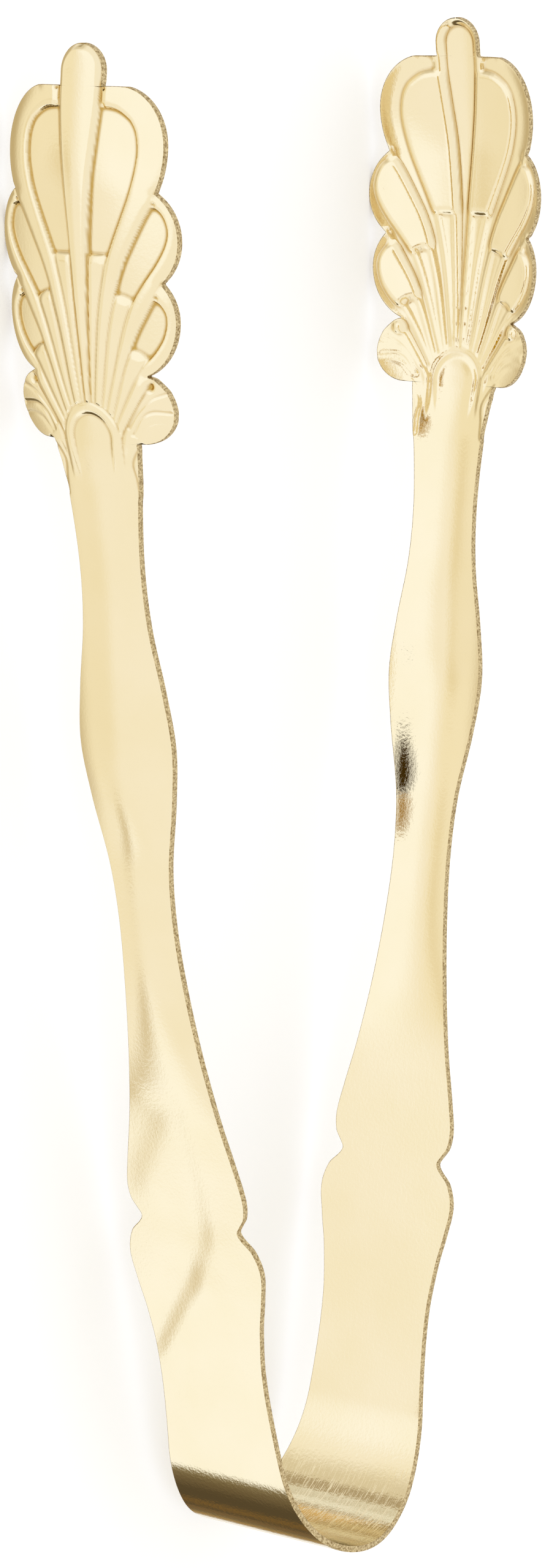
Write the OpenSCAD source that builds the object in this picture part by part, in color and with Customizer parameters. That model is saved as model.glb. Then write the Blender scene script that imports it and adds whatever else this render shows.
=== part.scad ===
// Ice tongs stamped from one strip of sheet metal: a round spring bow, two arms with a
// notched shoulder and a dished stem, and a palmette claw pressed into each end.
// They lie on their side edges: X is the spread, Y runs along the arms to the tips, Z is
// the strip's width. "Run" is the length along the strip from the middle of the bow.

/* [Sheet] */
// Thickness of the sheet
sheet_t = 0.76; // [0.6:0.02:1]
// Half the strip's width at the middle of the bow
bow_half_w = 11.1; // [9:0.1:12.5]

/* [Bow] */
// Radius of the round crown of the bow
crown_r = 12.6; // [10:0.1:15]
// Turn of the crown on each side of its middle
crown_turn = 50; // [44:1:54]
// Radius where the bow eases into the arm
side_r = 18; // [15:0.5:22]
// Lean of the straight lower arm from square across
arm_lean = 79.3; // [78:0.1:81]

/* [Arms] */
// Run of the straight lower arm
blade_run = 52; // [50:1:54]
// Run and turn of the lower stem
stem_run = 40; // [38:1:42]
stem_turn = 4.4; // [3.5:0.1:5]
// Run and turn of the neck
neck_run = 34; // [33:1:35]
neck_turn = 0.8; // [0.4:0.1:1.2]
// Run and turn of the claw
claw_run = 44; // [43:1:45]
claw_turn = 7.2; // [6:0.1:8]

/* [Dish] */
// Radius across the dished stem
stem_dish_r = 20; // [16:1:30]
// Radius across the claw
claw_dish_r = 37; // [32:1:45]
// Outward swell of the claw's middle
claw_swell = 1.2; // [0.8:0.1:1.4]
// Height of the pressed pattern
relief_h = 0.45; // [0:0.05:0.5]

/* [Hidden] */
gold = [0.93, 0.85, 0.62];
gold_flank = [0.88, 0.78, 0.54];
$fn = 128;

// Where each region of the strip ends, as a run from the middle of the bow
side_start = crown_r * crown_turn * PI / 180;
side_run = side_r * (arm_lean - crown_turn) * PI / 180;
lower_start = side_start + side_run;
shoulder_start = 39;
stem_start = 60;
shell_start = 144.4;
finger_r = 3.05;
finger_top = 185.6;
tip_run = finger_top + finger_r;

// The centre line of the strip: runs and the turn made along each
bends = [
    [side_start, crown_turn],
    [side_run, arm_lean - crown_turn],
    [blade_run, 0],
    [stem_run, stem_turn],
    [neck_run, neck_turn],
    [claw_run, claw_turn]
];

// One bend from a pose [x, y, heading]
function bend(p, run, turn) =
    turn == 0
    ? [p.x + run * cos(p.z), p.y + run * sin(p.z), p.z]
    : let (r = run / turn * 180 / PI, heading = p.z + turn)
      [p.x + r * (sin(heading) - sin(p.z)), p.y - r * (cos(heading) - cos(p.z)), heading];

// Pose of the centre line at a run, for the right arm, bow bottom at the origin
function spine(run, i = 0, p = [0, 0, 0]) =
    let (whole = bends[i][0])
    (run <= whole || i == len(bends) - 1)
    ? bend(p, run, bends[i][1] * run / whole)
    : spine(run - whole, i + 1, bend(p, whole, bends[i][1]));

// Half-width of the strip from the bow to the claw, as [run, half-width]
arm_outline = [
    [0, bow_half_w], [8, 10.2], [16, 9], [24, 8.2], [32, 7.95], [38, 8.6], [42, 9.45],
    [45.5, 9.95], [48.2, 9.1], [49.6, 7.7], [50.4, 7.25], [51.2, 7.7], [52.4, 8.5],
    [54.5, 8.75], [58, 8.1], [64, 6.75], [72, 5.4], [80, 4.5], [88, 4.1], [95, 4.5],
    [103, 6.1], [109.5, 6.85], [116, 6.1], [123, 4.9], [130, 4.55], [138, 5.1], [146, 6.3]
];

// Lobes of the palmette, as [run of centre, half-width of centre, reach out, up, down]
lobes = [
    [177.2, 5.4, 5.8, 6.9, 8.2],
    [167.4, 7.5, 5.17, 5.95, 5.9],
    [158.6, 6.6, 5.45, 5.73, 6.5],
    [148.6, 7.2, 3.8, 3.9, 3.9]
];
scroll_foot = 144.75;
valleys = [scroll_foot, 152.35, 162.65, 172.5, 184];
widest = lobes[1][1] + lobes[1][2];

// Smooth curve through a list of [run, value], level at its first point
function slope(k, i) =
    i == 0 ? 0 : let (a = k[i - 1], b = k[min(i + 1, len(k) - 1)]) (b.y - a.y) / (b.x - a.x);
function through(k, run, i = 0) =
    (i < len(k) - 2 && run > k[i + 1].x)
    ? through(k, run, i + 1)
    : let (w = k[i + 1].x - k[i].x, t = (run - k[i].x) / w)
      k[i].y * (1 - 3 * t * t + 2 * t * t * t) + k[i + 1].y * (3 * t * t - 2 * t * t * t)
      + w * slope(k, i) * t * (1 - t) * (1 - t) - w * slope(k, i + 1) * t * t * (1 - t);

function lobe_edge(l, run) =
    let (d = run - l[0], reach = d > 0 ? l[3] : l[4], q = 1 - d * d / (reach * reach))
    q <= 0 ? 0 : l[1] + l[2] * sqrt(q);
function finger_edge(run) =
    run > finger_top
    ? sqrt(max(finger_r * finger_r - pow(run - finger_top, 2), 0.04))
    : finger_r;
function half_width(run) =
    run > valleys[4]
    ? finger_edge(run)
    : max(
        run < scroll_foot ? through(arm_outline, abs(run)) : 0,
        max([for (l = lobes) lobe_edge(l, run)])
    );

// 0 before a, 1 after b, smooth between
function ease(a, b, v) = let (t = min(max((v - a) / (b - a), 0), 1)) t * t * (3 - 2 * t);

// How far the middle of the sheet lies outside the centre line
function stem_share(run) = ease(stem_start, stem_start + 24, run) * (1 - ease(138, 152, run));
function claw_share(run) = ease(138, 152, run);
function dish(run, z) =
    let (
        edge = half_width(min(run, shell_start)),
        stem = (edge * edge - z * z) / (2 * stem_dish_r),
        swell = claw_swell * (1 - ease(172, tip_run, run)),
        claw = swell - z * z / (2 * claw_dish_r)
    )
    stem * stem_share(run) + claw * claw_share(run);

// Half-width of the raised middle finger, which narrows down to the foot of the fan
function finger_w(run) = through([[150, 0.5], [165, 1.3], [173, 2], [181.5, 3], [190, 3.3]], run);

// Pressed pattern: raised finger and rims, and a sunk panel inside each lobe
function panel(l, run, z) =
    let (
        d = run - l[0],
        q = norm([(z - l[1] + 1.4) / (l[2] - 2.4), (d > 0 ? d / (l[3] - 2.6) : d / (l[4] + 1))])
    )
    1 - ease(0.72, 1.1, q);
function relief(run, z) =
    let (
        over = ease(150, 154, run),
        finger = 1 - ease(finger_w(run) - 0.5, finger_w(run) + 0.6, z),
        sunk = max([for (i = [0:2]) panel(lobes[i], run, z)])
    )
    relief_h * over * max(finger, -0.5 * sunk);

/* --- building blocks --- */
origin_y = -(spine(tip_run).y - sheet_t / 2) / 2;

// Puts a shape drawn about the centre line into the part's frame
module place() translate([0, origin_y, widest]) children();

// The region's edge outline, seen square on at its middle run, cut through the sheet
module outline(from, to, pieces) {
    mid = spine(abs(from + to) / 2);
    runs = [for (i = [0:pieces]) from + (to - from) * i / pieces];
    edge = [
        for (r = runs)
            let (p = spine(abs(r)), x = (r < 0 ? -p.x : p.x) - mid.x, y = p.y - mid.y)
            [x * cos(mid.z) + y * sin(mid.z), half_width(abs(r))]
    ];
    back = [for (i = [pieces:-1:0]) [edge[i].x, -edge[i].y]];
    translate([mid.x, mid.y, 0])
        rotate([90, 0, mid.z])
            linear_extrude(height = 30, center = true)
                polygon(concat(edge, back));
}

// A round stretch of the sheet about a centre, from one heading to another
module round_band(centre, r, from, to) {
    translate([centre.x, centre.y, -widest])
        rotate([0, 0, from - 90])
            rotate_extrude(angle = to - from)
                translate([r - sheet_t / 2, 0])
                    square([sheet_t, 2 * widest]);
}

// A straight stretch of the sheet
module flat_band(from, to) {
    p = spine(from);
    translate([p.x, p.y, 0])
        rotate([0, 0, p.z])
            translate([0, -sheet_t / 2, -widest])
                cube([to - from, sheet_t, 2 * widest]);
}

// A dished stretch of the sheet, as rows across the strip
module dished_sheet(runs, columns) {
    rows = len(runs);
    wide = columns + 1;
    skin = [
        for (face = [1, -1], r = runs)
            let (p = spine(r), w = half_width(r))
            for (j = [0:columns])
                let (
                    z = w * (2 * j / columns - 1),
                    out = dish(r, z) + relief(r, abs(z)) + face * sheet_t / 2
                )
                [p.x + out * sin(p.z), p.y - out * cos(p.z), z]
    ];
    inner = rows * wide;
    last = (rows - 1) * wide;
    faces = concat(
        [for (i = [0:rows - 2], j = [0:columns - 1])
            let (a = i * wide + j) each [
                [a, a + 1, a + wide + 1], [a, a + wide + 1, a + wide],
                [inner + a, inner + a + wide + 1, inner + a + 1],
                [inner + a, inner + a + wide, inner + a + wide + 1]
            ]],
        [for (i = [0:rows - 2])
            let (a = i * wide, b = a + columns) each [
                [a, a + wide, inner + a + wide], [a, inner + a + wide, inner + a],
                [b + wide, b, inner + b], [b + wide, inner + b, inner + b + wide]
            ]],
        [for (j = [0:columns - 1])
            let (a = last + j) each [
                [j + 1, j, inner + j], [j + 1, inner + j, inner + j + 1],
                [a, a + 1, inner + a + 1], [a, inner + a + 1, inner + a]
            ]]
    );
    polyhedron(points = skin, faces = faces, convexity = 6);
}

/* --- regions of the right arm --- */
module bow_side() {
    p = spine(side_start);
    centre = [p.x - side_r * sin(p.z), p.y + side_r * cos(p.z)];
    intersection() {
        round_band(centre, side_r, crown_turn, arm_lean);
        outline(side_start - 1, lower_start + 1, 8);
    }
}

module lower_arm() {
    intersection() {
        flat_band(lower_start, shoulder_start);
        outline(lower_start - 1, shoulder_start + 1, 14);
    }
}

module shoulder() {
    intersection() {
        flat_band(shoulder_start, stem_start);
        outline(shoulder_start - 1, stem_start + 1, 40);
    }
}

module stem() {
    steps = 32;
    dished_sheet([for (i = [0:steps]) stem_start + (shell_start - stem_start) * i / steps], 8);
}

module shell() {
    steps = 8;
    lobe_rows = [
        for (v = [0:3], i = [0:steps - 1])
            valleys[v] + 0.01 + (valleys[v + 1] - valleys[v] - 0.12) * i / (steps - 1)
    ];
    finger_rows = [
        finger_top - 1.3,
        for (a = [0:15:75]) finger_top + finger_r * sin(a)
    ];
    dished_sheet(concat([shell_start], lobe_rows, finger_rows), 16);
}

/* --- the strip, region by region --- */
module bow_crown() color(gold) place() intersection() {
    round_band([0, crown_r], crown_r, -crown_turn, crown_turn);
    outline(-side_start - 1, side_start + 1, 21);
}

module right_bow_side() color(gold_flank) place() bow_side();
module right_lower_arm() color(gold) place() lower_arm();
module right_shoulder() color(gold_flank) place() shoulder();
module right_stem() color(gold) place() stem();
module right_shell() color(gold_flank) place() shell();

module left_bow_side() color(gold_flank) mirror([1, 0, 0]) place() bow_side();
module left_lower_arm() color(gold) mirror([1, 0, 0]) place() lower_arm();
module left_shoulder() color(gold_flank) mirror([1, 0, 0]) place() shoulder();
module left_stem() color(gold) mirror([1, 0, 0]) place() stem();
module left_shell() color(gold_flank) mirror([1, 0, 0]) place() shell();

bow_crown();
left_bow_side();
right_bow_side();
left_lower_arm();
right_lower_arm();
left_shoulder();
right_shoulder();
left_stem();
right_stem();
left_shell();
right_shell();
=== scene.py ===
import math

import bpy
import numpy as np
from mathutils import Matrix, Vector


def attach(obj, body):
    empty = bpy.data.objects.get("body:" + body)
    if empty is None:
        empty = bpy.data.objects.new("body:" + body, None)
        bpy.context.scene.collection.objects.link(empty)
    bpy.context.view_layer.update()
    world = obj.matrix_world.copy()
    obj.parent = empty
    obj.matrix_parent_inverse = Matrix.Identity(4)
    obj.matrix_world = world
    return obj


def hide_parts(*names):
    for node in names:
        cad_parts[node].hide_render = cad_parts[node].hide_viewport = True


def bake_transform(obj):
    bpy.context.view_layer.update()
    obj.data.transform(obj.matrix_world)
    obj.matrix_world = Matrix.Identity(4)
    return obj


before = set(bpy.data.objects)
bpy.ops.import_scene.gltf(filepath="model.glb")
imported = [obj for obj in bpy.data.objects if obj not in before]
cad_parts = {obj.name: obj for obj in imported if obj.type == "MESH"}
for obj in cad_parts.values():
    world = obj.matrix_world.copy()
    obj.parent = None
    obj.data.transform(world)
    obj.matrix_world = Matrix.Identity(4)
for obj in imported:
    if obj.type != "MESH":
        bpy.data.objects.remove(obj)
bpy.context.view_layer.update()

MM = 0.001

# --- The strip's own sizes, in mm, as in the CAD model -----------------------------------
SHEET = 0.76
CROWN_R, CROWN_TURN = 12.6, 50.0
SIDE_R, ARM_LEAN = 18.0, 79.3
BENDS = [  # run and turn of each stretch of the centre line
    (CROWN_R * math.radians(CROWN_TURN), CROWN_TURN),
    (SIDE_R * math.radians(ARM_LEAN - CROWN_TURN), ARM_LEAN - CROWN_TURN),
    (52.0, 0.0),
    (40.0, 4.4),
    (34.0, 0.8),
    (44.0, 7.2),
]
STEM_START, SHELL_START = 60.0, 144.4
FINGER_R, FINGER_TOP = 3.05, 185.6
TIP = FINGER_TOP + FINGER_R
STEM_DISH_R, CLAW_DISH_R, CLAW_SWELL = 20.0, 37.0, 1.2

ARM_OUTLINE = [  # run, half-width
    (0, 11.1), (8, 10.2), (16, 9), (24, 8.2), (32, 7.95), (38, 8.6), (42, 9.45),
    (45.5, 9.95), (48.2, 9.1), (49.6, 7.7), (50.4, 7.25), (51.2, 7.7), (52.4, 8.5),
    (54.5, 8.75), (58, 8.1), (64, 6.75), (72, 5.4), (80, 4.5), (88, 4.1), (95, 4.5),
    (103, 6.1), (109.5, 6.85), (116, 6.1), (123, 4.9), (130, 4.55), (138, 5.1), (146, 6.3),
]
LOBES = [  # run and half-width of the centre, reach out, up and down
    (177.2, 5.4, 5.8, 6.9, 8.2),
    (167.4, 7.5, 5.17, 5.95, 5.9),
    (158.6, 6.6, 5.45, 5.73, 6.5),
    (148.6, 7.2, 3.8, 3.9, 3.9),
]
SCROLL_FOOT, LOBE_TOP = 144.75, 184.0
VALLEYS = [152.35, 162.65, 172.5]
MID_Z = LOBES[1][1] + LOBES[1][2]


def ease(a, b, v):
    t = np.clip((v - a) / (b - a), 0, 1)
    return t * t * (3 - 2 * t)


def spine(run):
    """Place and heading of the centre line at each run, for the right arm."""
    run = np.asarray(run, float)
    x, y, a = np.zeros_like(run), np.zeros_like(run), np.zeros_like(run)
    px = py = pa = begin = 0.0
    for i, (length, turn) in enumerate(BENDS):
        here = (run >= begin) if i == len(BENDS) - 1 else (run >= begin) & (run < begin + length)
        if i == 0:
            here = run < length
        curve = math.radians(turn) / length
        for d, put in ((run[here] - begin, here), (np.array([length]), None)):
            if turn:
                h = pa + d * curve
                qx, qy = px + (np.sin(h) - math.sin(pa)) / curve, py - (np.cos(h) - math.cos(pa)) / curve
            else:
                h = pa + 0 * d
                qx, qy = px + d * math.cos(pa), py + d * math.sin(pa)
            if put is not None:
                x[put], y[put], a[put] = qx, qy, h
        px, py, pa, begin = float(qx[0]), float(qy[0]), float(h[0]), begin + length
    return x, y, a


def through(knots, run):
    """Smooth curve through knots, level at the first one."""
    k = np.array(knots, float)
    slope = np.zeros(len(k))
    slope[1:-1] = (k[2:, 1] - k[:-2, 1]) / (k[2:, 0] - k[:-2, 0])
    slope[-1] = (k[-1, 1] - k[-2, 1]) / (k[-1, 0] - k[-2, 0])
    i = np.clip(np.searchsorted(k[:, 0], run, side="right") - 1, 0, len(k) - 2)
    w = k[i + 1, 0] - k[i, 0]
    t = (run - k[i, 0]) / w
    return (
        k[i, 1] * (1 - 3 * t**2 + 2 * t**3) + k[i + 1, 1] * (3 * t**2 - 2 * t**3)
        + w * slope[i] * t * (1 - t) ** 2 - w * slope[i + 1] * t**2 * (1 - t)
    )


def half_width(run):
    """Half the strip's width at each run."""
    run = np.abs(np.asarray(run, float))
    w = np.where(run < SCROLL_FOOT, through(ARM_OUTLINE, np.minimum(run, SCROLL_FOOT)), 0)
    for centre, middle, reach, up, down in LOBES:
        q = 1 - ((run - centre) / np.where(run > centre, up, down)) ** 2
        w = np.maximum(w, np.where(q > 0, middle + reach * np.sqrt(np.maximum(q, 0)), 0))
    tip = np.sqrt(np.maximum(FINGER_R**2 - np.maximum(run - FINGER_TOP, 0) ** 2, 0.0))
    return np.where(run > LOBE_TOP, tip, w)


def dish(run, z):
    """How far the middle of the sheet lies outside the centre line."""
    edge = half_width(np.minimum(run, SHELL_START))
    stem = (edge**2 - z**2) / (2 * STEM_DISH_R)
    claw = CLAW_SWELL * (1 - ease(172, TIP, run)) - z**2 / (2 * CLAW_DISH_R)
    claw_share = ease(138, 152, run)
    stem_share = ease(STEM_START, STEM_START + 24, run) * (1 - claw_share)
    return stem * stem_share + claw * claw_share


STREAKS = {  # shallow bends left by the forming: two ends as (run, z), width, height
    "left": [((44, 0.2), (31, -8.8), 1.3, 0.08), ((50, 3), (41, -0.8), 1.5, 0.06),
             ((66, 1.5), (48, 2.8), 1.6, 0.035), ((64, -1.5), (53, -8.6), 2.1, 0.085),
             ((108, -8), (96, 0.5), 2.0, 0.05)],
    "right": [((44, 7), (26, 10), 3.0, 0.03)],
}


def waves(run, z, side):
    """Slight unevenness of the pressed sheet."""
    phase = 0.0 if side == "left" else 2.1
    wave = 0.02 * np.sin(run / 5.3 + z / 9 + phase) + 0.014 * np.sin(run / 3.1 - z / 4.2 + 2 * phase)
    for (r0, z0), (r1, z1), wide, high in STREAKS[side]:
        length = math.hypot(r1 - r0, z1 - z0)
        along = ((run - r0) * (r1 - r0) + (z - z0) * (z1 - z0)) / length
        across = ((run - r0) * (z1 - z0) - (z - z0) * (r1 - r0)) / length
        ends = ease(-3, 2, along) * (1 - ease(length - 4, length + 2, along))
        wave = wave + high * ends * np.tanh(across / wide) * np.exp(-((across / (3 * wide)) ** 2))
    return wave * ease(0, 5, run) * (0.5 + 0.5 * ease(14, 24, run))


# --- The palmette, as a height map over run and half-width ---------------------------------
CELL = 0.08
MAP_RUN0, MAP_RUN1, MAP_Z1 = 134.0, 190.0, 13.6

# Lines of the palmette as (half-width, run), each from the tip end down to the arch
FINGER_LINE = [(3.1, 184.3), (3.0, 181.7), (2.6, 178), (1.95, 173), (1.3, 166), (1.0, 161),
               (0.7, 155.3), (0.45, 149.4)]
CREASES = [
    [(10.25, 172.5), (9.55, 171.1), (8.6, 169.6), (7.3, 167.3), (6.05, 165), (5.1, 162.8),
     (4.5, 160.8), (3.6, 157.6), (2.95, 154.5), (2.4, 151.3), (1.9, 148.7)],
    [(10.6, 162.6), (9.45, 160.85), (8.3, 159), (7.2, 157.2), (6.3, 155.4), (5.3, 153.2),
     (4.3, 150.4), (3.25, 147.5)],
    [(8.9, 152.35), (8.0, 151.1), (6.6, 149.2), (5.3, 147.4), (4.25, 145.7), (3.95, 144),
     (3.65, 141.0), (3.5, 139)],
]
LIMBS = [  # inner line of each limb: round its panel, then along its rib
    [(3.0, 181.7), (4.2, 181.7), (5.4, 181.4), (6.9, 180.4), (7.7, 179), (7.95, 177.1), (7.7, 175),
     (6.9, 172.3), (5.7, 169.5), (4.65, 167.2), (3.75, 165), (2.95, 162), (2.3, 158.8),
     (1.75, 155), (1.35, 151.8), (1.0, 149.2)],
    [(9.45, 170.95), (10.2, 170.8), (11.0, 169.9), (11.4, 168.3), (11.0, 166.6), (9.9, 164.7),
     (8.3, 162.6), (7.0, 160.7), (5.85, 158.2), (4.85, 155.3), (3.9, 152.2), (2.6, 148.2)],
    [(9.4, 160.8), (10.2, 160.3), (10.8, 159.2), (10.75, 157.8), (10.2, 156.3), (9.1, 154.8),
     (7.8, 153.5), (6.6, 151.7), (5.2, 149.3), (3.75, 146.8)],
]
RIB_TOPS = [(2.55, 165.75, 0.1), (5.3, 161.4, 0.22), (6.9, 155.25, 0.3)]  # middle, run, doming
ARCH_R, ARCH_BAND, ARCH_RUN = 4.15, 1.4, 145.2
FINGER_H, LIMB_H, RIB_H, PANEL_H = 0.78, 0.46, 0.36, -0.12
ARCH_H, TONGUE_H, LEAF_H = 0.34, 0.08, 0.34
LIMB_ROUND, OUTER_ROUND, RIB_LEAN = 0.9, 1.8, 0.12  # widths of the rounded rims; slope per rib
FLUTES = [  # grooves of the scroll leaf: points, depth, width
    ([(5.75, 145.9), (6.9, 147.7), (8.4, 148.5), (10.6, 148.4)], 0.15, 0.26),
    ([(5.3, 146.6), (6.7, 148.4), (8.4, 149.9), (10.3, 150.6)], 0.12, 0.22),
    ([(6.2, 145.6), (7.6, 146.9), (9.2, 147.3), (10.8, 147.1)], 0.07, 0.25),
    ([(6.6, 144.7), (5.5, 143.4), (4.95, 142.2), (5.15, 140.5), (5.2, 138.5)], 0.16, 0.2),
]
PITS = [(3.45, 183.75, 0.28, 0.18), (3.45, 181.95, 0.25, 0.2), (9.9, 171.3, 0.3, 0.25),
        (9.8, 161.1, 0.3, 0.25), (8.4, 151.2, 0.45, 0.4)]


def curve(points, step=0.15):
    """Points along a smooth curve through the given ones."""
    p = np.array(points, float)
    p = np.vstack([2 * p[0] - p[1], p, 2 * p[-1] - p[-2]])
    out = []
    for i in range(1, len(p) - 2):
        n = max(2, int(np.linalg.norm(p[i + 1] - p[i]) / step))
        t = np.linspace(0, 1, n, endpoint=False)[:, None]
        out.append(0.5 * (2 * p[i] + (p[i + 1] - p[i - 1]) * t
                          + (2 * p[i - 1] - 5 * p[i] + 4 * p[i + 1] - p[i + 2]) * t**2
                          + (3 * p[i] - p[i - 1] - 3 * p[i + 1] + p[i + 2]) * t**3))
    out.append(p[-2][None])
    return np.vstack(out)


def lobe_arc(i, first, last):
    """The outline of lobe i as curve points, between two runs."""
    run = np.linspace(first, last, 60)
    centre, middle, reach, up, down = LOBES[i]
    q = 1 - ((run - centre) / np.where(run > centre, up, down)) ** 2
    return np.stack([middle + reach * np.sqrt(np.maximum(q, 0)), run], 1)


def line_distance(z, run, line):
    """Distance from each point to a line."""
    best = np.full(z.shape, 1e9)
    for (az, ar), (bz, br) in zip(line[:-1], line[1:]):
        dz, dr = bz - az, br - ar
        t = np.clip(((z - az) * dz + (run - ar) * dr) / (dz * dz + dr * dr + 1e-12), 0, 1)
        best = np.minimum(best, (z - az - t * dz) ** 2 + (run - ar - t * dr) ** 2)
    return np.sqrt(best)


def inside(z, run, loop):
    """Whether each point lies in a closed loop."""
    within = np.zeros(z.shape, bool)
    for (az, ar), (bz, br) in zip(loop, np.roll(loop, -1, 0)):
        if ar != br:
            crosses = (ar > run) != (br > run)
            within ^= crosses & (z < az + (run - ar) * (bz - az) / (br - ar))
    return within


def bump_up(d, w):
    """A rounded rise from 0 to 1 over the width w."""
    t = np.clip(d / w, 0, 1)
    return t * (2 - t)


def palmette():
    """The relief of the outer face as a height map, with both halves."""
    run = np.arange(MAP_RUN0, MAP_RUN1 + CELL / 2, CELL)
    z = np.arange(0, MAP_Z1 + CELL / 2, CELL)
    R, Z = np.meshgrid(run, z, indexing="ij")
    finger = curve(FINGER_LINE)
    creases = [curve(c) for c in CREASES]
    lefts = [finger, creases[0], creases[1]]
    limbs = [curve(c) for c in LIMBS]
    to_crease = [line_distance(Z, R, c) for c in creases]
    to_limb = [line_distance(Z, R, c) for c in limbs]
    to_finger = line_distance(Z, R, finger)
    to_left = [to_finger, to_crease[0], to_crease[1]]
    tops, ends = [LOBE_TOP, VALLEYS[2], VALLEYS[1]], [VALLEYS[2], VALLEYS[1], VALLEYS[0]]
    foot = [np.array([(0.0, 144.0)])] * 3
    height = np.zeros(Z.shape)
    for i in range(3):
        hub = np.array([LOBES[i][1], LOBES[i][0]])
        arc = hub + 1.15 * (lobe_arc(i, tops[i], ends[i]) - hub)
        left = lefts[i][::-1]
        petal = np.vstack([foot[i], left, arc, creases[i]])
        room = np.vstack([foot[i], left[left[:, 1] < limbs[i][0, 1] + 0.02], limbs[i]])
        in_petal, in_room = inside(Z, R, petal), inside(Z, R, room)
        to_arc = line_distance(Z, R, lobe_arc(i, tops[i], ends[i]))
        limb = LIMB_H * (0.62 + 0.38 * bump_up(to_limb[i], LIMB_ROUND))
        limb = limb * (0.62 + 0.38 * bump_up(to_crease[i], LIMB_ROUND))
        limb = limb * (0.55 + 0.45 * bump_up(to_arc, OUTER_ROUND))
        if i == 0:
            limb = limb * (0.3 + 0.7 * bump_up(to_finger, LIMB_ROUND))
        height = np.where(in_petal & ~in_room, limb, height)
        middle, top, dome = RIB_TOPS[i]
        lean = RIB_LEAN * i
        to_top = top - dome * ((Z - middle) / 1.1) ** 2 - lean * (Z - middle) - R
        rib = RIB_H * (0.55 + 0.45 * bump_up(np.minimum(to_left[i], to_limb[i]), 0.8))
        rib = rib * (0.15 + 0.85 * bump_up(to_top, 1.1))
        height = np.where(in_room, np.where(to_top > 0, rib, PANEL_H), height)
    # the middle finger, rounded over its whole width, with a round top
    edge = np.interp(R, finger[::-1, 1], finger[::-1, 0])
    edge = np.where(R > LOBE_TOP, FINGER_R, edge)
    d = np.where(R > FINGER_TOP, FINGER_R - np.hypot(Z, R - FINGER_TOP), edge - Z)
    tall = LIMB_H + (FINGER_H - LIMB_H) * ease(150, 172, R)
    wall = 0.35 + 0.65 * ease(160, 182, R)
    rise = 0.8 * bump_up(d, wall) + 0.2 * bump_up(d, edge)
    height = np.where(d > 0, tall * rise, height)
    # the scroll leaf beside the foot
    leaf_loop = np.vstack([creases[2], [(13.5, 139.0), (13.5, VALLEYS[0])]])
    on_leaf = inside(Z, R, leaf_loop)
    leaf = LEAF_H * (0.25 + 0.75 * bump_up(to_crease[2], 1.2)) * ease(141.5, 145.5, R)
    height = np.where(on_leaf, leaf, height)
    # the arch over the end of the stem, and the tongue inside it
    out = np.where(R > ARCH_RUN, ARCH_R - np.hypot(Z, R - ARCH_RUN), ARCH_R - Z - 0.09 * (ARCH_RUN - R))
    low = ease(139.5, 145, R)
    arch = ARCH_H * low * (0.5 + 0.5 * bump_up(np.minimum(out, ARCH_BAND - out), 0.6))
    tongue = TONGUE_H * low + 0.1 * low * bump_up(out - ARCH_BAND, 1.5)
    height = np.where(out > 0, np.where(out > ARCH_BAND, tongue, arch), height)
    height = np.where((out <= 0) & ~on_leaf & (R < 144), 0, height)
    for points, depth, wide in FLUTES:
        height = height - depth * np.exp(-((line_distance(Z, R, curve(points)) / wide) ** 2))
    for pz, pr, depth, wide in PITS:
        height = height - depth * np.exp(-(((Z - pz) ** 2 + (R - pr) ** 2) / wide**2))
    return np.concatenate([height[:, :0:-1], height], 1)


def blurred(field, sigma):
    """The map smoothed over sigma mm."""
    reach = int(4 * sigma / CELL) + 1
    w = np.exp(-0.5 * (np.arange(-reach, reach + 1) * CELL / sigma) ** 2)
    w /= w.sum()
    for axis in (0, 1):
        padded = np.pad(field, [(reach, reach) if a == axis else (0, 0) for a in (0, 1)], mode="edge")
        field = sum(
            w[k] * np.take(padded, np.arange(k, k + field.shape[axis]), axis=axis)
            for k in range(len(w))
        )
    return field


def inner_skin(outer_map):
    """The other face of a sheet of even thickness: the parallel surface below the height map."""
    reach = int(SHEET / CELL)
    low = np.full(outer_map.shape, 1e9)
    padded = np.pad(outer_map, reach, mode="edge")
    n, m = outer_map.shape
    for i in range(-reach, reach + 1):
        for j in range(-reach, reach + 1):
            d2 = (i * i + j * j) * CELL * CELL
            if d2 < SHEET * SHEET:
                part = padded[reach + i:reach + i + n, reach + j:reach + j + m]
                low = np.minimum(low, part - math.sqrt(SHEET * SHEET - d2))
    return low + SHEET


raw_map = palmette()
OUTER_SOFT, INNER_SOFT, CREASE_REACH, CREASE_DEPTH = 0.085, 0.12, 0.3, 0.07  # mm
OUTER_MAP = blurred(raw_map, OUTER_SOFT)
INNER_MAP = blurred(inner_skin(blurred(raw_map, INNER_SOFT)), INNER_SOFT)
# The crease depth below is used to paint shade into the creases of the gold.
CAVITY = {  # how deep in a crease each point lies, from 0 to 1
    +1: np.clip((blurred(OUTER_MAP, CREASE_REACH) - OUTER_MAP) / CREASE_DEPTH - 0.4, 0, 1),
    -1: np.clip((INNER_MAP - blurred(INNER_MAP, CREASE_REACH)) / CREASE_DEPTH - 0.4, 0, 1),
}
MAPS = {
    +1: (OUTER_MAP, *np.gradient(OUTER_MAP, CELL)),
    -1: (INNER_MAP, *np.gradient(INNER_MAP, CELL)),
}


def look_up(field, run, z):
    """The map between its cells."""
    i = np.clip((run - MAP_RUN0) / CELL, 0, field.shape[0] - 1.001)
    j = np.clip((z + MAP_Z1) / CELL, 0, field.shape[1] - 1.001)
    i0, j0 = i.astype(int), j.astype(int)
    u, v = i - i0, j - j0
    return (
        field[i0, j0] * (1 - u) * (1 - v) + field[i0 + 1, j0] * u * (1 - v)
        + field[i0, j0 + 1] * (1 - u) * v + field[i0 + 1, j0 + 1] * u * v
    )


ORIGIN_Y = -(float(spine(np.array([TIP]))[1][0]) - SHEET / 2) / 2


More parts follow.
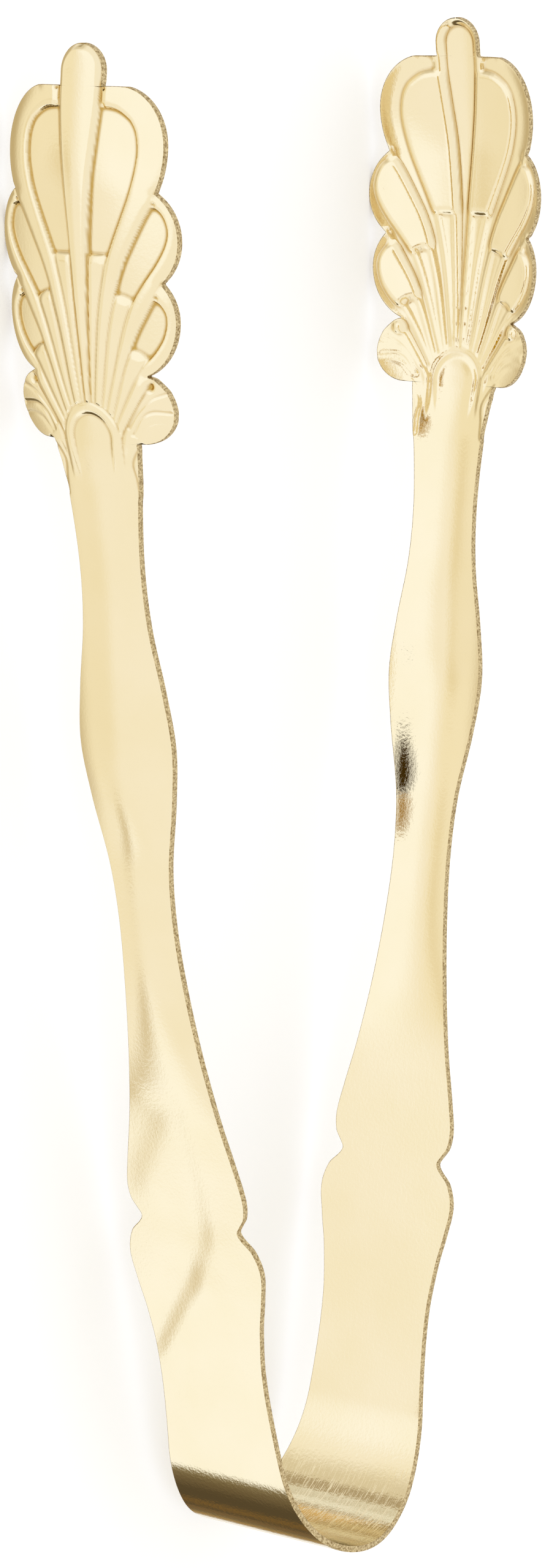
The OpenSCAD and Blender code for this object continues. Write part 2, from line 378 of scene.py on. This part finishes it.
def skin(run, z, face, side="right"):
    """Points and outward normals of one face of the right arm; face is +1 outside, -1 inside."""
    x, y, a = spine(run)
    e = 0.01

    def middle(r, h):
        return dish(r, h) + waves(r, h, side)

    off = middle(run, z)
    d_run = (middle(run + e, z) - middle(run - e, z)) / (2 * e)
    d_z = (middle(run, z + e) - middle(run, z - e)) / (2 * e)
    field, by_run, by_z = MAPS[face]
    on = (run > MAP_RUN0 + 1).astype(float)
    off = off + on * look_up(field, run, z) + face * SHEET / 2
    d_run = d_run + on * look_up(by_run, run, z)
    d_z = d_z + on * look_up(by_z, run, z)
    n = np.stack([np.sin(a), -np.cos(a), 0 * a], -1)
    t = np.stack([np.cos(a), np.sin(a), 0 * a], -1)
    up = np.array([0.0, 0.0, 1.0])
    p = np.stack([x, y, 0 * x], -1) + off[..., None] * n + z[..., None] * up
    p = p + np.array([0, ORIGIN_Y, MID_Z])
    normal = n - d_run[..., None] * t - d_z[..., None] * up
    normal /= np.linalg.norm(normal, axis=-1, keepdims=True)
    return p, normal * face, t, n


# --- Meshes ---------------------------------------------------------------------------------
BEVEL = 0.1
EDGE_ANGLES = [math.radians(x) for x in (30, 60, 85)]


def even_rows(first, last, step, keep=()):
    """Runs between two ends, evenly spaced along the outline."""
    fine = np.linspace(first, last, 20001)
    w = half_width(fine)
    length = np.concatenate([[0], np.cumsum(np.hypot(np.diff(fine), 0.7 * np.diff(w)))])
    count = max(2, int(length[-1] / step))
    rows = np.interp(np.linspace(0, length[-1], count + 1), length, fine)
    for k in keep:
        if first < k < last:
            rows[np.argmin(np.abs(rows - k))] = k
    return rows


def ring_points(rows, columns, side):
    """Every point and normal of the strip's cross-sections, as rings round the sheet."""
    w = half_width(rows)
    e = 0.02
    slope = (half_width(rows + e) - half_width(rows - e)) / (2 * e)
    slope = np.clip(slope, -6, 6)
    size = np.hypot(1, slope)
    u = np.linspace(-1, 1, columns)
    u = np.sign(u) * (1 - (1 - np.abs(u)) ** 1.15)
    near = np.abs(u) ** 10
    run = rows[:, None] + BEVEL * near[None] * (slope / size)[:, None]
    z = u[None] * w[:, None] - np.sign(u)[None] * BEVEL * near[None] * (1 / size)[:, None]
    z = np.where(w[:, None] < 2 * BEVEL, u[None] * w[:, None] * 0.5, z)
    parts, walls, marks, faces = [], [], [], {}
    for face in (1, -1):
        faces[face] = skin(run, z, face, side)
        rim = w[:, None] - np.abs(z)
        # the crease depth, carried to the material for the painted crease shade
        cavity = np.where(run > MAP_RUN0 + 1, look_up(CAVITY[face], run, z), 0)
        marks.append(np.stack([run, z, rim, cavity, 0 * z + face], -1))
    parts.append((faces[1][0], faces[1][1]))
    walls += [False] * columns

    def edge(sign):
        zz = sign * w
        outside, _, t, _ = skin(rows, zz, 1, side)
        inside_, _, _, _ = skin(rows, zz, -1, side)
        out = np.stack([0 * w, 0 * w, sign * np.ones_like(w)], -1) - slope[:, None] * t
        out /= np.linalg.norm(out, axis=-1, keepdims=True)
        middle, up = (outside + inside_) / 2, (outside - inside_) / 2
        thick = np.linalg.norm(up, axis=-1, keepdims=True)
        up = up / thick
        pts = []
        for a in EDGE_ANGLES:
            pts.append((middle + up * (thick - BEVEL * (1 - math.cos(a))) - out * BEVEL * (1 - math.sin(a)),
                        up * math.cos(a) + out * math.sin(a)))
        for a in reversed(EDGE_ANGLES):
            pts.append((middle - up * (thick - BEVEL * (1 - math.cos(a))) - out * BEVEL * (1 - math.sin(a)),
                        -up * math.cos(a) + out * math.sin(a)))
        return pts

    front, back = edge(1), edge(-1)
    for p, n in front:
        parts.append((p[:, None], n[:, None]))
    walls += [True] * len(front)
    parts.append((faces[-1][0][:, ::-1], faces[-1][1][:, ::-1]))
    walls += [False] * columns
    for p, n in reversed(back):
        parts.append((p[:, None], n[:, None]))
    walls += [True] * len(back)
    points = np.concatenate([p for p, _ in parts], 1)
    normals = np.concatenate([n for _, n in parts], 1)
    ends = [np.stack([rows, s * w, *[0 * w] * 3], -1)[:, None].repeat(len(front), 1) for s in (1, -1)]
    marks = np.concatenate([marks[0], ends[0], marks[1][:, ::-1], ends[1]], 1)
    return points, normals, marks, np.array(walls)


def strip_piece(name, side, rows, columns, materials):
    """One stretch of the strip as a closed mesh with exact normals."""
    points, normals, marks, walls = ring_points(rows, columns, side)
    rings, around = points.shape[:2]
    if side == "left":
        points = points * np.array([-1, 1, 1])
        normals = normals * np.array([-1, 1, 1])
    flip = side == "left"
    index = np.arange(rings * around).reshape(rings, around)
    a, b = index[:-1], index[1:]
    nxt = np.roll(np.arange(around), -1)
    quads = np.stack([a, b, b[:, nxt], a[:, nxt]], -1).reshape(-1, 4)
    wall = (walls | walls[nxt])[None].repeat(rings - 1, 0).ravel()
    edge_count = len(EDGE_ANGLES) * 2
    polygons = [list(q) for q in (quads[:, ::-1] if flip else quads).tolist()]
    is_wall = wall.tolist()
    cap_loops = {}
    for ring, turn in ((0, False), (rings - 1, True)):
        base = ring * around
        outer = [base + j for j in range(columns)]
        inner = [base + 2 * columns + edge_count - 1 - j for j in range(columns)]
        right = [base + columns + k for k in range(edge_count)]
        left = [base + 2 * columns + edge_count + k for k in range(edge_count)]
        caps = [[outer[j], outer[j + 1], inner[j + 1], inner[j]] for j in range(columns - 1)]
        caps.append([outer[-1], *right, inner[-1]])
        caps.append([inner[0], *left, outer[0]])
        for c in caps:
            polygons.append(c[::-1] if turn != flip else c)
            is_wall.append(True)
            cap_loops[len(polygons) - 1] = ring
    mesh = bpy.data.meshes.new(name)
    mesh.from_pydata((points.reshape(-1, 3) * MM).tolist(), [], polygons)
    for m in materials:
        mesh.materials.append(m)
    mesh.polygons.foreach_set("material_index", np.array(is_wall, np.int32))
    mesh.polygons.foreach_set("use_smooth", np.ones(len(polygons), bool))
    mesh.update()
    corner = np.zeros(len(mesh.loops), np.int32)
    mesh.loops.foreach_get("vertex_index", corner)
    corner_normals = normals.reshape(-1, 3)[corner]
    for p, ring in cap_loops.items():
        poly = mesh.polygons[p]
        n = np.array(poly.normal)
        corner_normals[poly.loop_start:poly.loop_start + poly.loop_total] = n
    mesh.normals_split_custom_set(corner_normals.tolist())
    flat = marks.reshape(-1, 5)
    # The second attribute carries the crease depth for the painted crease shade, then the face and the rim
    # distance.
    for label, columns_of in (("strip", (0, 1, 2)), ("crease_shade_and_face", (3, 4, 2))):
        values = mesh.attributes.new(label, "FLOAT_VECTOR", "POINT")
        values.data.foreach_set("vector", flat[:, columns_of].ravel())
    made = bpy.data.objects.new(name, mesh)
    bpy.context.scene.collection.objects.link(made)
    return made


# --- Materials --------------------------------------------------------------------------------
class Shader:
    """A material with a few short ways to add nodes."""

    def __init__(self, name):
        self.material = bpy.data.materials.new(name)
        self.material.use_nodes = True
        self.tree = self.material.node_tree
        self.main = self.tree.nodes["Principled BSDF"]

    def node(self, kind, inputs=None, **settings):
        made = self.tree.nodes.new("ShaderNode" + kind)
        for key, value in settings.items():
            setattr(made, key, value)
        for key, value in (inputs or {}).items():
            self.put(made.inputs[key], value)
        return made

    def put(self, socket, value):
        if isinstance(value, bpy.types.NodeSocket):
            self.tree.links.new(value, socket)
        else:
            socket.default_value = value

    def set(self, name, value):
        self.put(self.main.inputs[name], value)

    def attribute(self, name):
        return self.node("Attribute", attribute_name=name).outputs["Vector"]

    def stretched(self, vector, scale):
        return self.node("Mapping", {"Vector": vector, "Scale": scale}).outputs["Vector"]

    def noise(self, vector, scale, detail=3.0, rough=0.5):
        return self.node("TexNoise", {"Vector": vector, "Scale": scale, "Detail": detail,
                                      "Roughness": rough}).outputs["Fac"]

    def spread(self, value, low, high, out_low=0.0, out_high=1.0):
        return self.node("MapRange", {"Value": value, "From Min": low, "From Max": high,
                                      "To Min": out_low, "To Max": out_high}).outputs["Result"]

    def maths(self, operation, a, b):
        made = self.node("Math", operation=operation)
        self.put(made.inputs[0], a)
        self.put(made.inputs[1], b)
        return made.outputs[0]

    def mix(self, factor, a, b):
        made = self.node("Mix", data_type="RGBA")
        first, second = [i for i in made.inputs if i.type == "RGBA"]
        self.put(made.inputs["Factor"], factor)
        self.put(first, a)
        self.put(second, b)
        return next(o for o in made.outputs if o.type == "RGBA")

    def bump(self, height, strength, distance, normal=None):
        inputs = {"Height": height, "Strength": strength, "Distance": distance}
        if normal is not None:
            inputs["Normal"] = normal
        return self.node("Bump", inputs).outputs["Normal"]


def gold_plate():
    s = Shader("gold_plate")
    strip = s.attribute("strip")
    run = s.node("SeparateXYZ", {"Vector": strip}).outputs["X"]
    crease_shade_and_face = s.node("SeparateXYZ", {"Vector": s.attribute("crease_shade_and_face")}).outputs
    place = s.node("TexCoord").outputs["Object"]
    cloud = s.noise(place, 90, 4)
    tint = s.mix(s.spread(cloud, 0.35, 0.65), (0.91, 0.805, 0.57, 1), (0.895, 0.785, 0.53, 1))
    # painted shade: the gold is mixed toward amber brown by the crease depth, darkening the creases
    s.set("Base Color", s.mix(crease_shade_and_face["X"], tint, (0.55, 0.35, 0.09, 1)))
    s.set("Metallic", 1.0)
    scratch = s.noise(s.stretched(strip, (0.25, 7.0, 1)), 1.0, 5, 0.7)
    rough = s.maths("ADD", s.spread(cloud, 0.3, 0.7, 0.02, 0.045), s.spread(scratch, 0.55, 0.8, 0, 0.04))
    s.set("Roughness", rough)
    # the inside of the bow keeps the slanting lines of its polishing
    slant = s.node("Mapping", {"Vector": strip, "Rotation": (0, 0, 0.5), "Scale": (0.25, 6, 1)})
    brush = s.noise(slant.outputs["Vector"], 1.0, 4, 0.75)
    in_bow = s.maths("MULTIPLY", s.spread(run, 15, 11), s.spread(crease_shade_and_face["Y"], -0.5, -1))
    # bending the bow has roughened its skin a little
    fine = s.bump(s.noise(place, 2600, 2), s.spread(run, 19, 13, 0.08, 0.2), 0.0001)
    lined = s.bump(scratch, 0.03, 0.0002, fine)
    marks = s.spread(brush, 0.56, 0.7)
    s.set("Normal", s.bump(marks, s.maths("MULTIPLY", in_bow, 0.2), 0.0001, lined))
    return s.material


def cut_edge():
    s = Shader("cut_edge")
    place = s.node("TexCoord").outputs["Object"]
    grain = s.noise(place, 3800, 3, 0.65)
    s.set("Base Color", s.mix(s.spread(grain, 0.35, 0.65), (0.30, 0.20, 0.08, 1), (0.80, 0.65, 0.37, 1)))
    s.set("Metallic", 1.0)
    s.set("Roughness", s.spread(grain, 0.3, 0.7, 0.5, 0.28))
    s.set("Normal", s.bump(grain, 0.5, 0.00015))
    return s.material


GOLD, EDGE = gold_plate(), cut_edge()

# --- The strip in pieces, each standing for one CAD node ------------------------------------
SCROLL_STEP, GAP = 144.7, 0.005  # the outline steps out here, and in again at LOBE_TOP
PIECES = [  # name, stretches as (first run, last run, step), columns, node that it stands for
    ("bow", [(0.0, 15.5, 0.35)], 40, "bow_side"),
    ("lower_arm", [(15.5, 29.0, 0.5)], 40, "lower_arm"),
    ("shoulder", [(29.0, STEM_START, 0.3)], 48, "shoulder"),
    ("stem", [(STEM_START, 134.0, 0.5), (134.0, SHELL_START, 0.16)], 91, "stem"),
    ("fan", [(SHELL_START, SCROLL_STEP - GAP, 0.15), (SCROLL_STEP + GAP, 163.0, 0.15)], 145, "shell"),
    ("tip", [(163.0, LOBE_TOP - GAP, 0.165), (LOBE_TOP + GAP, TIP - GAP, 0.13)], 143, "shell"),
]
BLENDS = {  # body before, body after, run where the bend starts and ends
    "bow": ("bow", "{}_bow_side", 3.0, 14.0),
    "lower_arm": ("{}_bow_side", "{}_lower_arm", 16.5, 28.0),
    "shoulder": ("{}_lower_arm", "{}_arm", 30.0, 50.0),
}


def blend_point(run, side):
    """A point on the centre line, in metres."""
    x, y, _ = spine(np.array([run]))
    return ((-1 if side == "left" else 1) * x[0] * MM, (y[0] + ORIGIN_Y) * MM, MID_Z * MM)


def lay_strip(side):
    """The pieces of one arm, each replacing its CAD nodes; the pieces past the bends follow the arm's body,
    the ones in BLENDS stay where they are made.
    """
    for part, stretches, columns, stands_for in PIECES:
        rows = np.unique(np.concatenate([even_rows(*stretch, VALLEYS) for stretch in stretches]))
        piece = strip_piece(f"{side}_{part}_sheet", side, rows, columns, (GOLD, EDGE))
        nodes = [f"{side}_{stands_for}"]
        if part == "bow" and side == "right":
            nodes.append("bow_crown")
        if part in BLENDS:
            a, b, start, end = BLENDS[part]
            blend_point(start, side)
            blend_point(end, side)
            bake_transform(piece)
        else:
            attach(piece, f"{side}_arm")
        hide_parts(*nodes)


lay_strip("left")
lay_strip("right")

# --- Camera at the photograph's viewing angle -----------------------------------------------
SENSOR, LENS = 36, 120.4
CAMERA_RIGHT = (0.6261, -0.0133, 0.7796)
CAMERA_UP = (0.1526, 0.9826, -0.1057)
CAMERA_BACK = (-0.7647, 0.1852, 0.6173)
CAMERA_PLACE = (-473.2, 205.9 + ORIGIN_Y, 379.6 + MID_Z)  # mm


def photo_camera():
    data = bpy.data.cameras.new("camera")
    data.sensor_width, data.lens = SENSOR, LENS
    data.clip_start, data.clip_end = 0.01, 20
    camera = bpy.data.objects.new("camera", data)
    bpy.context.scene.collection.objects.link(camera)
    turn = Matrix((CAMERA_RIGHT, CAMERA_UP, CAMERA_BACK)).transposed()
    camera.matrix_world = Matrix.Translation(Vector(CAMERA_PLACE) * MM) @ turn.to_4x4()
    bpy.context.scene.camera = camera


photo_camera()

# --- Floor and light ----------------------------------------------------------------------------
FLOOR_REACH = 3.0  # m
FLOOR_GLOW = 0.2


def flat_sheet(name, points, look):
    """A flat polygon through points in metres, outside the object."""
    mesh = bpy.data.meshes.new(name)
    mesh.from_pydata(points, [], [range(len(points))])
    mesh.materials.append(look.material)
    made = bpy.data.objects.new(name, mesh)
    bpy.context.scene.collection.objects.link(made)
    return made


def pale_floor():
    """A pale floor. Reflections pass through it, so the metal shows the surroundings instead."""
    look = Shader("floor")
    look.set("Base Color", (0.92, 0.92, 0.92, 1))
    look.set("Roughness", 0.9)
    look.set("Emission Color", (1, 1, 1, 1))
    look.set("Emission Strength", FLOOR_GLOW)
    r = FLOOR_REACH
    floor = flat_sheet("floor", [(-r, -r, 0), (r, -r, 0), (r, r, 0), (-r, r, 0)], look)
    floor.visible_glossy = False


pale_floor()

# Oval cards just under the floor, which only the polished metal sees: the dark spot on the right stem,
# its amber tail, and the amber streak beside the right claw.
CARDS = [  # height, colour, centre, half length and half width in mm, turn in degrees
    (-0.9, (0.05, 0.027, 0.004), (-11.0, 5.3), (12.0, 4.7), -12.0),
    (-1.0, (0.36, 0.19, 0.0), (-8.2, -2.3), (6.3, 3.6), -5.0),
    (-1.0, (0.5, 0.28, 0.0), (-6.5, 49.0), (9.0, 5.0), 0.0),
    (-0.9, (0.15, 0.07, 0.01), (-9.0, 49.8), (4.0, 1.8), 0.0),
]


def oval(centre, half, turn, count=64):
    """Points of an oval in the plane, in mm."""
    t = np.linspace(0, 2 * math.pi, count, endpoint=False)
    u, v = half[0] * np.cos(t), half[1] * np.sin(t)
    a = math.radians(turn)
    x = centre[0] + u * math.cos(a) - v * math.sin(a)
    y = centre[1] + u * math.sin(a) + v * math.cos(a)
    return list(zip(x.tolist(), y.tolist()))


def under_cards():
    for number, (height, shade, centre, half, turn) in enumerate(CARDS):
        look = Shader(f"card_{number}")
        look.set("Base Color", (0, 0, 0, 1))
        look.set("Specular IOR Level", 0.0)
        look.set("Emission Color", (*shade, 1))
        look.set("Emission Strength", 1.0)
        points = [(x * MM, y * MM, height * MM) for x, y in oval(centre, half, turn)]
        flat_sheet(f"card_{number}", points, look)


under_cards()

SKY = (1.0, 1.0, 1.0)
PATCHES = [  # azimuth and elevation of the middle, half-angle, softness in degrees, colour
    (180, -38, 75, 60, (1.02, 1.0, 0.96)),
    (160, -8, 30, 4, (1.1, 1.13, 1.2)),
    (-122, -36, 15.5, 3, (1.1, 1.13, 1.2)),
    (165, -70, 28, 3, (0.99, 0.94, 0.8)),
    (-137.5, -45.5, 3, 2, (0.76, 0.68, 0.53)),
    (-176, -49.5, 5, 3, (0.87, 0.78, 0.57)),
    (-159, -55, 12, 5, (0.97, 0.92, 0.79)),
    (0, -75, 30, 12, (0.6, 0.5, 0.32)),
    (104, -38, 16, 9, (0.77, 0.71, 0.58)),
    (97.5, -37, 5.5, 3, (0.46, 0.38, 0.26)),
    (80, -37, 8.5, 1.5, (0.78, 0.77, 0.7)),
    (83, -37, 1.2, 1.5, (0.62, 0.56, 0.45)),
    (75, -37, 1.5, 1.5, (1.0, 1.02, 1.02)),
    (66, -37, 2.5, 2, (0.45, 0.38, 0.28)),
    (55, -40, 6.5, 3, (0.7, 0.48, 0.2)),
    (40, -39, 8, 4, (0.56, 0.39, 0.17)),
    (26, -39, 8, 4, (0.6, 0.41, 0.18)),
    (12, -39, 8, 4, (0.6, 0.4, 0.17)),
    (-4, -39, 8, 5, (0.68, 0.48, 0.23)),
    (-20, -38, 7, 5, (0.8, 0.64, 0.38)),
    (-82, -37, 28, 1.5, (0.3, 0.25, 0.15)),
    (-84, -37, 22, 5, (0.16, 0.12, 0.065)),
    (-84, -37, 13, 4, (0.1, 0.074, 0.04)),
    (-80, -36, 2.5, 2, (0.2, 0.12, 0.04)),
    (-66, -37, 3, 2, (0.2, 0.13, 0.06)),
    (-50, -37, 4, 3, (0.36, 0.24, 0.1)),
]


def toward(azimuth, elevation):
    """The direction as a unit vector."""
    az, el = math.radians(azimuth), math.radians(elevation)
    return math.cos(az) * math.cos(el), math.sin(az) * math.cos(el), math.sin(el)


def studio():
    """Pale surroundings with soft round patches of colour, each laid over the ones before."""
    world = bpy.data.worlds.new("studio")
    bpy.context.scene.world = world
    world.use_nodes = True
    nodes, links = world.node_tree.nodes, world.node_tree.links
    coords = nodes.new("ShaderNodeTexCoord")
    colour = None
    for azimuth, elevation, half, soft, shade in PATCHES:
        dot = nodes.new("ShaderNodeVectorMath")
        dot.operation = "DOT_PRODUCT"
        dot.inputs[1].default_value = toward(azimuth, elevation)
        links.new(coords.outputs["Generated"], dot.inputs[0])
        ramp = nodes.new("ShaderNodeMapRange")
        ramp.interpolation_type = "SMOOTHSTEP"
        ramp.inputs["From Min"].default_value = math.cos(math.radians(min(half + soft, 179)))
        ramp.inputs["From Max"].default_value = math.cos(math.radians(max(half - soft, 0)))
        links.new(dot.outputs["Value"], ramp.inputs["Value"])
        mix = nodes.new("ShaderNodeMix")
        mix.data_type = "RGBA"
        links.new(ramp.outputs["Result"], mix.inputs["Factor"])
        below, above = [i for i in mix.inputs if i.type == "RGBA"]
        if colour is None:
            below.default_value = (*SKY, 1)
        else:
            links.new(colour, below)
        above.default_value = (*shade, 1)
        colour = next(o for o in mix.outputs if o.type == "RGBA")
    links.new(colour, nodes["Background"].inputs["Color"])


studio()
bpy.context.scene.view_settings.view_transform = "Standard"
